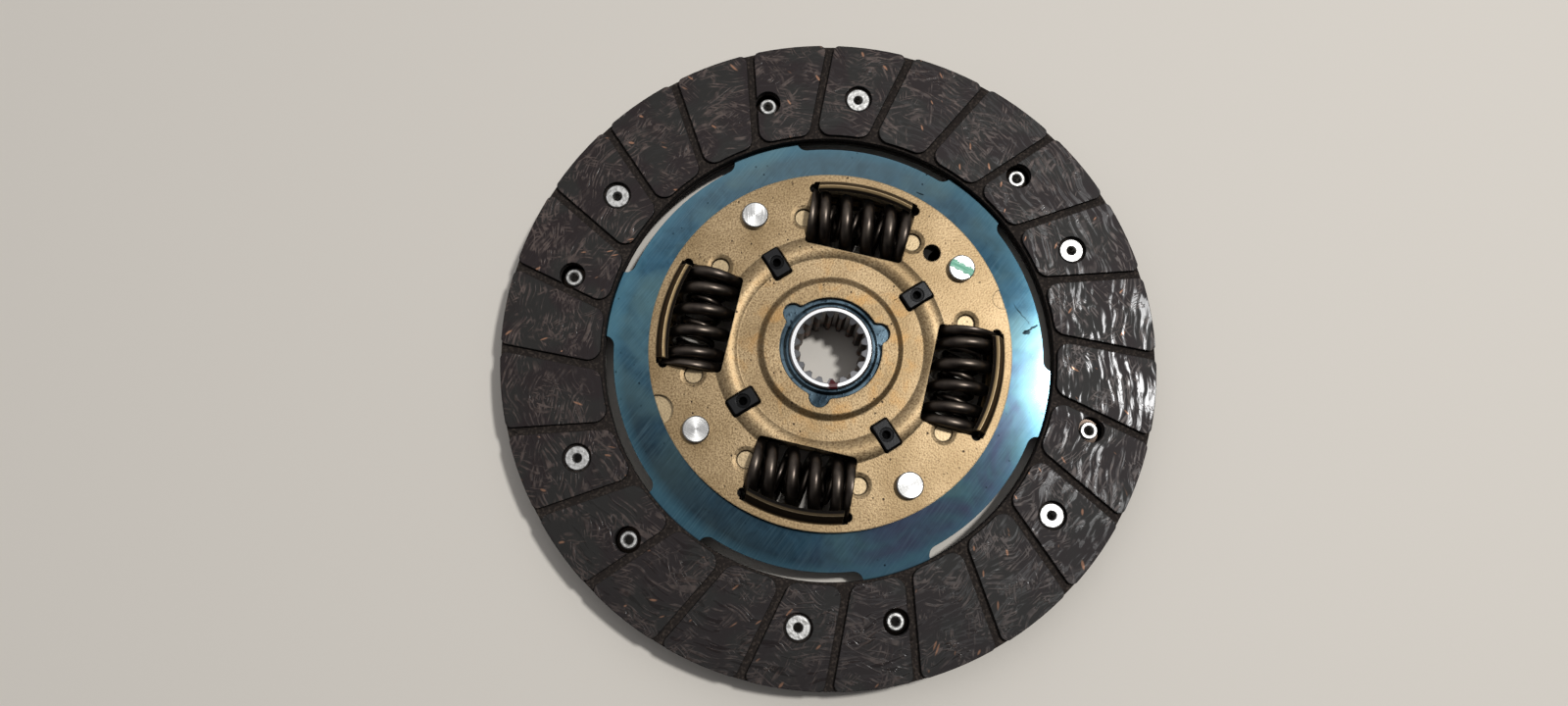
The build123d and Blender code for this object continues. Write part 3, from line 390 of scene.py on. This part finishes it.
for x, y, turn, half_length, half_width in GOUGES:
    gouge = {"Vector": wander, "Location": (x, y, 0.0), "Rotation": (0.0, 0.0, turn)}
    gouge = gouge | {"Scale": (half_length, half_width, 1.0)}
    gouge = add(tree, "Mapping", gouge, vector_type="TEXTURE")
    gouge = add(tree, "VectorMath", {0: gouge}, operation="LENGTH").outputs["Value"]
    gouge = add(tree, "MapRange", {"Value": gouge, "From Min": 1.0, "From Max": 0.8, "To Max": 0.9})
    tone = add(tree, "MixRGB", {"Fac": gouge, "Color1": tone, "Color2": linear("0c1216")})
# Painted shade under the facings and under the covers.
outside = {"Value": radius, "From Min": FACING_EDGE_R[0], "From Max": FACING_EDGE_R[1]}
outside = add(tree, "MapRange", outside)
under = {"Value": radius, "From Min": COVER_EDGE_R[0], "From Max": COVER_EDGE_R[1]}
under = add(tree, "MapRange", under)
shade_under_parts = add(tree, "Math", {0: outside, 1: under}, operation="MAXIMUM")
colour = add(tree, "MixRGB", {"Fac": shade_under_parts, "Color1": tone, "Color2": linear("15110e")})
finish_surface(tree, shader, colour, edge=0.12 * MM, relief=lines, depth=0.0006 * MM)
clad(temper, "cushion_plate")

# ---- Facings ----
# Yarn of glass, rayon and copper wire, wound in crossing sweeps, set in dark resin, moulded and
# ground flat. Ground strands show as grey streaks, some glossy, among brown ones and bright cut
# ends of copper. The grooves stay as moulded, with their walls and the pads' edges painted near
# black as shade. The side towards -Y is painted darker as shade.
WINDING_R = 84.0 * MM
SWEEP = 14.0 * MM
SWEEP_REACH = 7.0 * MM
# Each layer of strands: its turn, the length and width of a strand, and the size of a patch.
LAYERS = (
    (math.radians(12), 22.0 * MM, 0.8 * MM, 9.0 * MM),
    (math.radians(-28), 20.0 * MM, 0.7 * MM, 8.0 * MM),
    (math.radians(65), 15.0 * MM, 0.6 * MM, 6.0 * MM),
)
LAYER_SHIFT = 0.31
LAYER_THINNING = 0.02
SMEAR = (15.0 * MM, 1.5 * MM, 1.5 * MM)
SMEAR_TURN = 0.1
STRAND_SHADE = 2.2 * MM
COPPER_SPACING = 3.2 * MM
COPPER_SHAPE = (2.4, 0.6, 0.6)
COPPER_TURN = 0.9
COPPER_BARE = 0.78
SHADED_SIDE = (20.0 * MM, -90.0 * MM)
LINING_MIDDLE = 9.25 * MM
GROUND_FACE = (3.75 * MM, 3.65 * MM)
GROOVE_WALL_SHADE = (2.6 * MM, 2.75 * MM)
EDGE_SHADE = 0.35 * MM
facing, tree, shader, where = new_finish("resin_bound_yarn", Specular_IOR_Level=0.25)
place = add(tree, "SeparateXYZ", {"Vector": where})
arc = add(tree, "Math", {0: place.outputs["Y"], 1: place.outputs["X"]}, operation="ARCTAN2")
arc = add(tree, "Math", {0: arc}, operation="ABSOLUTE")
arc = add(tree, "Math", {0: arc, 1: WINDING_R}, operation="MULTIPLY")
wound = add(tree, "CombineXYZ", {"X": arc, "Y": from_axis(tree, where)})
sweep = add(tree, "TexNoise", {"Vector": where, "Scale": 1 / SWEEP, "Detail": 1.0})
push = {0: sweep.outputs["Color"], 1: (0.5, 0.5, 0.5)}
push = add(tree, "VectorMath", push, operation="SUBTRACT")
push = add(tree, "VectorMath", {0: push, "Scale": SWEEP_REACH}, operation="SCALE")
wound = add(tree, "VectorMath", {0: wound, 1: push}, operation="ADD")
strands = 0.0
for number, (turn, length, width, patch) in enumerate(LAYERS):
    lines = {"Vector": wound, "Rotation": (0.0, 0.0, turn), "Scale": (length, width, width)}
    lines = add(tree, "Mapping", lines, vector_type="TEXTURE")
    lines = {"Vector": lines, "Scale": 1.0, "Detail": 2.0, "Roughness": 0.4}
    lines = add(tree, "TexNoise", lines)
    lines = add(tree, "MapRange", {"Value": lines, "From Min": 0.54, "From Max": 0.6})
    shift = (number * LAYER_SHIFT,) * 3
    kept = add(tree, "VectorMath", {0: where, 1: shift}, operation="ADD")
    kept = add(tree, "TexNoise", {"Vector": kept, "Scale": 1 / patch, "Detail": 2.0})
    thinning = LAYER_THINNING * number
    kept = {"Value": kept, "From Min": 0.48 + thinning, "From Max": 0.56 + thinning}
    kept = add(tree, "MapRange", kept)
    lines = add(tree, "Math", {0: lines, 1: kept}, operation="MULTIPLY")
    strands = add(tree, "Math", {0: strands, 1: lines}, operation="MAXIMUM")
smear = {"Vector": wound, "Rotation": (0.0, 0.0, SMEAR_TURN), "Scale": SMEAR}
smear = add(tree, "Mapping", smear, vector_type="TEXTURE")
smear = add(tree, "TexNoise", {"Vector": smear, "Scale": 1.0, "Detail": 3.0})
brown = add(tree, "MapRange", {"Value": sweep, "From Min": 0.44, "From Max": 0.56})
resin = add(tree, "MixRGB", {"Fac": brown, "Color1": linear("1f1d1a"), "Color2": linear("1d1212")})
shade = add(tree, "TexNoise", {"Vector": where, "Scale": 1 / STRAND_SHADE})
shade = add(tree, "MapRange", {"Value": shade, "From Min": 0.35, "From Max": 0.65})
strand = add(tree, "MixRGB", {"Fac": shade, "Color1": linear("2e2421"), "Color2": linear("584b45")})
tone = add(tree, "MixRGB", {"Fac": strands, "Color1": resin, "Color2": strand})
ends = {"Vector": wound, "Rotation": (0.0, 0.0, COPPER_TURN), "Scale": COPPER_SHAPE}
ends = add(tree, "Mapping", ends, vector_type="TEXTURE")
ends = add(tree, "TexVoronoi", {"Vector": ends, "Scale": 1 / COPPER_SPACING})
bare = add(tree, "SeparateXYZ", {"Vector": ends.outputs["Color"]})
bare = add(tree, "Math", {0: bare, 1: COPPER_BARE}, operation="GREATER_THAN")
ends = add(tree, "MapRange", {"Value": ends, "From Min": 0.2, "From Max": 0.12})
copper = add(tree, "Math", {0: ends, 1: bare}, operation="MULTIPLY")
tone = add(tree, "MixRGB", {"Fac": copper, "Color1": tone, "Color2": linear("8f6a54")})
# Painted shade: the pads darken towards -Y.
darker = {"From Min": SHADED_SIDE[0], "From Max": SHADED_SIDE[1], "To Max": 0.45}
darker = add(tree, "MapRange", {"Value": place.outputs["Y"]} | darker)
tone = add(tree, "MixRGB", {"Fac": darker, "Color1": tone, "Color2": linear("0d0b0a")})

# Below the ground face the moulded skin shows, with crumbs of filler on the grooves' floors; the
# grooves' walls are painted near black as shade. The heights here are counted from the middle
# between the facings.
height = add(tree, "Math", {0: place.outputs["Z"], 1: LINING_MIDDLE}, operation="SUBTRACT")
height = add(tree, "Math", {0: height}, operation="ABSOLUTE")
moulded = {"Value": height, "From Min": GROUND_FACE[0], "From Max": GROUND_FACE[1]}
moulded = add(tree, "MapRange", moulded)
# Painted shade: the grooves' walls go near black.
skin_and_wall_shade = {"Value": height, "From Min": GROOVE_WALL_SHADE[0], "From Max": GROOVE_WALL_SHADE[1]}
skin_and_wall_shade = add(tree, "MapRange", skin_and_wall_shade)
crumbs = add(tree, "TexNoise", {"Vector": where, "Scale": 1 / CRUMB, "Detail": 3.0})
crumbs = add(tree, "MapRange", {"Value": crumbs, "From Min": 0.5, "From Max": 0.8})
low = add(tree, "MixRGB", {"Fac": crumbs, "Color1": linear("241f1c"), "Color2": linear("4c433c")})
skin_and_wall_shade = add(tree, "MixRGB", {"Fac": skin_and_wall_shade, "Color1": low, "Color2": linear("040303")})
tone = add(tree, "MixRGB", {"Fac": moulded, "Color1": tone, "Color2": skin_and_wall_shade})
# Painted shade near edges, such as the pads' edges along the grooves.
dark_mask = edge_share(tree, EDGE_SHADE)
colour = add(tree, "MixRGB", {"Fac": dark_mask, "Color1": tone, "Color2": linear("040303")})
metal = add(tree, "Math", {0: copper, 1: 0.5}, operation="MULTIPLY")
tree.links.new(metal.outputs[0], shader.inputs["Metallic"])
gloss = add(tree, "MapRange", {"Value": smear, "From Min": 0.52, "From Max": 0.62})
worn = add(tree, "Math", {0: strands, 1: 0.4}, operation="MULTIPLY")
gloss = add(tree, "Math", {0: gloss, 1: worn}, operation="MAXIMUM")
rough = add(tree, "MapRange", {"Value": gloss, "To Min": 0.6, "To Max": 0.22})
rough = add(tree, "Math", {0: rough, 1: moulded}, operation="MAXIMUM")
tree.links.new(rough.outputs[0], shader.inputs["Roughness"])
relief = add(tree, "Math", {0: strands, 1: smear}, operation="ADD")
finish_surface(tree, shader, colour, edge=0.35 * MM, relief=relief, depth=0.03 * MM)
clad(facing, "front_facing", "rear_facing")

# ---- Rivets ----
# Tubular rivets of zinc-plated steel with rolled heads, which hold the facings on the cushion
# plate. The plating is pale and satin, and a little blotched.
BLOTCH = 1.2 * MM
zinc, tree, shader, where = new_finish("zinc_plate", Metallic=0.85, Roughness=0.38)
stain = add(tree, "TexNoise", {"Vector": where, "Scale": 1 / BLOTCH, "Detail": 4.0})
stain = add(tree, "MapRange", {"Value": stain, "From Min": 0.4, "From Max": 0.65})
colour = add(tree, "MixRGB", {"Fac": stain, "Color1": linear("c6c5c2"), "Color2": linear("8f8e8a")})
finish_surface(tree, shader, colour, edge=0.15 * MM, relief=stain, depth=0.03 * MM)
clad(zinc, "front_facing_rivets", "rear_facing_rivets")

# ---- Stop pins ----
# Shouldered steel pins, riveted cold over the covers. The flattened heads are pale, and the tool
# that turned on them left rings about their middles, which draw the light out into rays. The
# rings and scratches are drawn coarser than real ones, so that they show.
PIN_ANGLES = (31.6, 119.0, 211.6, 299.0)
PIN_CIRCLE_R = 47.0 * MM
RING_PITCH = 0.5 * MM
SCRATCH = (6.0 * MM, 0.15 * MM, 0.15 * MM)
SCRATCH_TURN = 0.6
for number, angle in enumerate(PIN_ANGLES):
    turn = math.radians(angle)
    place = (PIN_CIRCLE_R * math.cos(turn), PIN_CIRCLE_R * math.sin(turn), 0.0)
    headed = f"cold_headed_steel_{number + 1}"
    pin_steel, tree, shader, where = new_finish(headed, Metallic=1.0, Anisotropic=0.6)
    local = add(tree, "Mapping", {"Vector": where, "Location": place}, vector_type="TEXTURE")
    along = add(tree, "VectorMath", {0: local, 1: (0.0, 0.0, 1.0)}, operation="CROSS_PRODUCT")
    along = add(tree, "VectorMath", {0: along}, operation="NORMALIZE")
    tree.links.new(along.outputs[0], shader.inputs["Tangent"])
    lines = {"Vector": where, "Rotation": (0.0, 0.0, SCRATCH_TURN + number), "Scale": SCRATCH}
    lines = add(tree, "Mapping", lines, vector_type="TEXTURE")
    lines = add(tree, "TexNoise", {"Vector": lines, "Scale": 1.0})
    lines = add(tree, "MapRange", {"Value": lines, "From Min": 0.5, "From Max": 0.75})
    rings = add(tree, "CombineXYZ", {"X": from_axis(tree, local.outputs[0])})
    rings = add(tree, "TexNoise", {"Vector": rings, "Scale": 1 / RING_PITCH, "Detail": 2.0})
    worn = add(tree, "Math", {0: rings, 1: lines}, operation="ADD")
    worn = add(tree, "MapRange", {"Value": worn, "From Min": 0.35, "From Max": 1.0})
    colour = {"Fac": worn, "Color1": linear("a9a8a5"), "Color2": linear("d2d1ce")}
    colour = add(tree, "MixRGB", colour)
    rough = add(tree, "MapRange", {"Value": worn, "To Min": 0.42, "To Max": 0.3})
    tree.links.new(rough.outputs[0], shader.inputs["Roughness"])
    finish_surface(tree, shader, colour, edge=0.3 * MM, relief=worn, depth=0.006 * MM)
    clad(pin_steel, f"stop_pin_{number + 1}")

# ---- Paint stripe ----
# An inspector's stripe of thin green paint, brushed across the head of the first stop pin. The
# bristles leave it streaky, so that the steel whitens it in places.
STRIPE_TURN = math.radians(-28)
STRIPE_HALF_WIDTH = 1.2 * MM
STRIPE_REACH = 3.7 * MM
STRIPE_RAGGED = 0.15
STRIPE_STEPS = (61, 17)
PAINT_FILM = 0.03 * MM
BRISTLE = (5.0 * MM, 0.4 * MM, 0.4 * MM)


def new_piece(name, points, faces, finish):
    """A smooth piece in one material, from its points and faces."""
    mesh = bpy.data.meshes.new(name)
    mesh.from_pydata(points.reshape(-1, 3).tolist(), [], faces)
    mesh.polygons.foreach_set("use_smooth", [True] * len(mesh.polygons))
    mesh.materials.append(finish)
    made = bpy.data.objects.new(name, mesh)
    bpy.context.collection.objects.link(made)
    return made


def sheet(name, points, finish):
    """A piece from a grid of points, rows by columns, with its faces towards rows cross columns."""
    rows, columns = points.shape[:2]
    index = np.arange(rows * columns).reshape(rows, columns)
    corners = (index[:-1, :-1], index[1:, :-1], index[1:, 1:], index[:-1, 1:])
    faces = np.stack([corner.ravel() for corner in corners], axis=1)
    return new_piece(name, points, faces.tolist(), finish)


def brush_stroke(name, centre, turn, half_width, reach, ragged, finish):
    """A stroke along u and across v, held inside a circle of the reach, with wavy sides.

    v = -1..1 is carried to plus and minus the half width, times one plus waves in u, and u = -1..1
    to the chord of the circle at that width. The film is thickened upwards.
    """
    steps = [np.linspace(-1, 1, count) for count in STRIPE_STEPS]
    u, v = np.meshgrid(*steps, indexing="ij")
    waves = np.sin(9 * u + 2 * v) + 0.5 * np.sin(23 * u - v)
    across = v * half_width * (1 + ragged * waves)
    along = u * np.sqrt(np.maximum(reach ** 2 - across ** 2, 0))
    x = centre[0] + along * math.cos(turn) - across * math.sin(turn)
    y = centre[1] + along * math.sin(turn) + across * math.cos(turn)
    stroke = sheet(name, np.stack([x, y, np.full_like(x, centre[2])], axis=-1), finish)
    film = stroke.modifiers.new("film", "SOLIDIFY")
    film.thickness = PAINT_FILM
    film.offset = 1.0
    return stroke


green_paint, tree, shader, where = new_finish("thin_green_paint", Roughness=0.4)
lines = {"Vector": where, "Rotation": (0.0, 0.0, STRIPE_TURN), "Scale": BRISTLE}
lines = add(tree, "Mapping", lines, vector_type="TEXTURE")
lines = add(tree, "TexNoise", {"Vector": lines, "Scale": 1.0, "Detail": 3.0})
thin = add(tree, "MapRange", {"Value": lines, "From Min": 0.45, "From Max": 0.68})
colour = add(tree, "MixRGB", {"Fac": thin, "Color1": linear("2f9a74"), "Color2": linear("93ccb2")})
finish_surface(tree, shader, colour, edge=0.02 * MM, relief=lines, depth=0.01 * MM)

pin_turn = math.radians(PIN_ANGLES[0])
pin_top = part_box("stop_pin_1")[1][2]
place = (PIN_CIRCLE_R * math.cos(pin_turn), PIN_CIRCLE_R * math.sin(pin_turn), pin_top)
stripe = brush_stroke("green_paint_stripe", place, STRIPE_TURN, STRIPE_HALF_WIDTH,
                      STRIPE_REACH, STRIPE_RAGGED, green_paint)
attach(stripe, "disc")

# ---- Damper springs ----
# Four outer springs of 3.7 mm wire, each with a smaller one wound the other way inside it. They
# are coiled cold with closed ends, ground flat, and blackened with oil: near black, with a narrow
# warm gleam along the top of each turn. The wire's drawing marks are coarser than real ones.
WINDOW_ANGLE = 76.8
WINDOW_IN = 30.4 * MM
WINDOW_HALF = 15.05 * MM
WINDOW_SLANT = math.radians(3.6)
SPRING_AXIS_R = 40.2 * MM
SEAT_PLAY = 0.1 * MM
FIRST_TURN = 0.25
CLOSED_TURNS = 0.95
OPENING_TURNS = 0.4
END_GRIND = 0.3 * MM
# Each kind: its name, diameter, wire, turns, hand, and steps along a turn and round the wire.
SPRING_KINDS = (
    ("outer", 19.4 * MM, 3.7 * MM, 5.75, 1, 64, 28),
    ("inner", 11.2 * MM, 2.0 * MM, 9.2, -1, 40, 18),
)
OIL_PATCH = 4.0 * MM
DRAWING_MARK = 0.5 * MM
spring_low, spring_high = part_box("outer_spring_1")
SPRING_HEIGHT = (spring_low[2] + spring_high[2]) / 2
black, tree, shader, where = new_finish("oil_blackened_spring_wire", Metallic=1.0)
oil = add(tree, "TexNoise", {"Vector": where, "Scale": 1 / OIL_PATCH, "Detail": 3.0})
oil = add(tree, "MapRange", {"Value": oil, "From Min": 0.3, "From Max": 0.7})
colour = add(tree, "MixRGB", {"Fac": oil, "Color1": linear("443d38"), "Color2": linear("625950")})
rough = add(tree, "MapRange", {"Value": oil, "To Min": 0.33, "To Max": 0.4})
tree.links.new(rough.outputs[0], shader.inputs["Roughness"])
drawn = add(tree, "TexNoise", {"Vector": where, "Scale": 1 / DRAWING_MARK, "Detail": 2.0})
finish_surface(tree, shader, colour, edge=0.1 * MM, relief=drawn, depth=0.012 * MM)


def coil(name, diameter, wire, turns, hand, window, finish, ring_steps, round_steps):
    """A spring's wire as a tube: m runs along it in turns, v runs round it.

    Its centre circles the spring's axis, at its highest after FIRST_TURN, while it moves along by a
    closed turn's pitch, one wire, and past the closed ends also by the spare length shared over the
    open turns. The axis is an arc that meets both slanted window ends squarely. Points past an end
    are set back on it, as grinding does.
    """
    coil_r, wire_r = (diameter - wire) / 2, wire / 2
    half = WINDOW_HALF + (SPRING_AXIS_R - WINDOW_IN) * math.tan(WINDOW_SLANT) - SEAT_PLAY
    bow = half / math.sin(WINDOW_SLANT)
    m = np.linspace(0, turns, int(turns * ring_steps) + 1)
    share = np.clip((np.minimum(m, turns - m) - CLOSED_TURNS) / OPENING_TURNS, 0, 1)
    share = share * share * (3 - 2 * share)
    gained = np.concatenate([[0], np.cumsum((share[1:] + share[:-1]) / 2)])
    length = 2 * (half + END_GRIND)
    run = wire * m + (length - wire * turns) * gained / gained[-1]
    phase = hand * 2 * math.pi * (m - FIRST_TURN) + math.pi / 2
    lean = (run - length / 2) / bow
    outward = np.stack([np.sin(lean), np.cos(lean), np.zeros_like(m)], axis=1)
    radial = np.cos(phase)[:, None] * outward + np.sin(phase)[:, None] * np.array([0.0, 0.0, 1.0])
    middle = np.array([0.0, SPRING_AXIS_R - bow, SPRING_HEIGHT]) + bow * outward + coil_r * radial
    side = np.cross(np.gradient(middle, axis=0), radial)
    side /= np.linalg.norm(side, axis=1)[:, None]
    v = np.linspace(0, 2 * math.pi, round_steps, endpoint=False)[None, :, None]
    tube = middle[:, None] + wire_r * (np.cos(v) * radial[:, None] + np.sin(v) * side[:, None])
    limit = WINDOW_HALF + (tube[..., 1] - WINDOW_IN) * math.tan(WINDOW_SLANT) - SEAT_PLAY
    tube[..., 0] = np.clip(tube[..., 0], -limit, limit)
    turn = math.radians(window - 90)
    x = tube[..., 0] * math.cos(turn) - tube[..., 1] * math.sin(turn)
    y = tube[..., 0] * math.sin(turn) + tube[..., 1] * math.cos(turn)
    index = np.arange(len(m) * round_steps).reshape(len(m), round_steps)
    after = np.roll(index, -1, axis=1)
    faces = np.stack([index[:-1], index[1:], after[1:], after[:-1]], axis=-1)
    faces = faces.reshape(-1, 4).tolist() + [index[0].tolist(), index[-1][::-1].tolist()]
    points = np.stack([x, y, tube[..., 2]], axis=-1)
    return new_piece(name, points, [face[::hand] for face in faces], finish)


for number in range(1, 5):
    window = WINDOW_ANGLE + 90 * (number - 1)
    for kind, diameter, wire, turns, hand, rings, rounds in SPRING_KINDS:
        name = f"{kind}_coil_{number}"
        piece = coil(name, diameter, wire, turns, hand, window, black, rings, rounds)
        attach(piece, "spring_set")
        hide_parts(f"{kind}_spring_{number}")
        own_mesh(piece)

# ---- Floor, light and camera ----
# A plain pale floor, and a soft lamp above and to the right. The sky is pale overhead and dimmer
# low down, where one side is brighter, as in a room with a pale wall behind.
FLOOR_HALF = 12.0
LAMP_PLACE = (0.56, 0.25, 1.50)
LAMP_SIZE = 0.15
LAMP_POWER = 16.5
BRIGHT_WALL = (-0.45, 0.9, 0.0)
SKY_MIDDLE = (-0.12, 0.48, 0.87)
SKY_STRENGTH = 1.2
CAMERA_PLACE = (-0.019727, -0.064967, 0.35107)
CAMERA_TURN = (10.803, -0.9645, -0.0912)
CAMERA_LENS = 25.94
CAMERA_SENSOR = 36.0

pale = new_finish("pale_floor", Roughness=0.75, Base_Color=linear("d6d0c6"))[0]
reach = np.linspace(-FLOOR_HALF, FLOOR_HALF, 3)
x, y = np.meshgrid(reach, reach, indexing="ij")
floor = sheet("floor", np.stack([x, y, np.zeros_like(x)], axis=-1), pale)

lamp_data = bpy.data.lights.new("lamp", "AREA")
lamp_data.shape = "DISK"
lamp_data.size = LAMP_SIZE
lamp_data.energy = LAMP_POWER
lamp = bpy.data.objects.new("lamp", lamp_data)
lamp.location = LAMP_PLACE
flat_reach = math.hypot(LAMP_PLACE[0], LAMP_PLACE[1])
lamp_way = math.atan2(LAMP_PLACE[1], LAMP_PLACE[0]) + math.pi / 2
lamp.rotation_euler = (math.atan2(flat_reach, LAMP_PLACE[2]), 0.0, lamp_way)
bpy.context.collection.objects.link(lamp)

world = bpy.data.worlds.new("sky")
bpy.context.scene.world = world
world.use_nodes = True
tree = world.node_tree
way = add(tree, "TexCoord").outputs["Generated"]
wall = add(tree, "VectorMath", {0: way, 1: BRIGHT_WALL}, operation="DOT_PRODUCT").outputs["Value"]
wall = add(tree, "MapRange", {"Value": wall, "From Min": -0.7, "From Max": 0.7})
wall = add(tree, "MixRGB", {"Fac": wall, "Color1": linear("161618"), "Color2": linear("8c8c90")})
rise = add(tree, "VectorMath", {0: way, 1: SKY_MIDDLE}, operation="DOT_PRODUCT").outputs["Value"]
rise = add(tree, "MapRange", {"Value": rise, "From Min": 0.5, "From Max": 1.0})
rise = add(tree, "Math", {0: rise, 1: 3.0}, operation="POWER")
sky = add(tree, "MixRGB", {"Fac": rise, "Color1": wall, "Color2": linear("f2f2f4")})
tree.links.new(sky.outputs[0], tree.nodes["Background"].inputs["Color"])
tree.nodes["Background"].inputs["Strength"].default_value = SKY_STRENGTH

camera_data = bpy.data.cameras.new("camera")
camera_data.lens = CAMERA_LENS
camera_data.sensor_width = CAMERA_SENSOR
camera = bpy.data.objects.new("camera", camera_data)
camera.location = CAMERA_PLACE
camera.rotation_euler = [math.radians(angle) for angle in CAMERA_TURN]
bpy.context.collection.objects.link(camera)
bpy.context.scene.camera = camera
bpy.context.scene.view_settings.view_transform = "Standard"
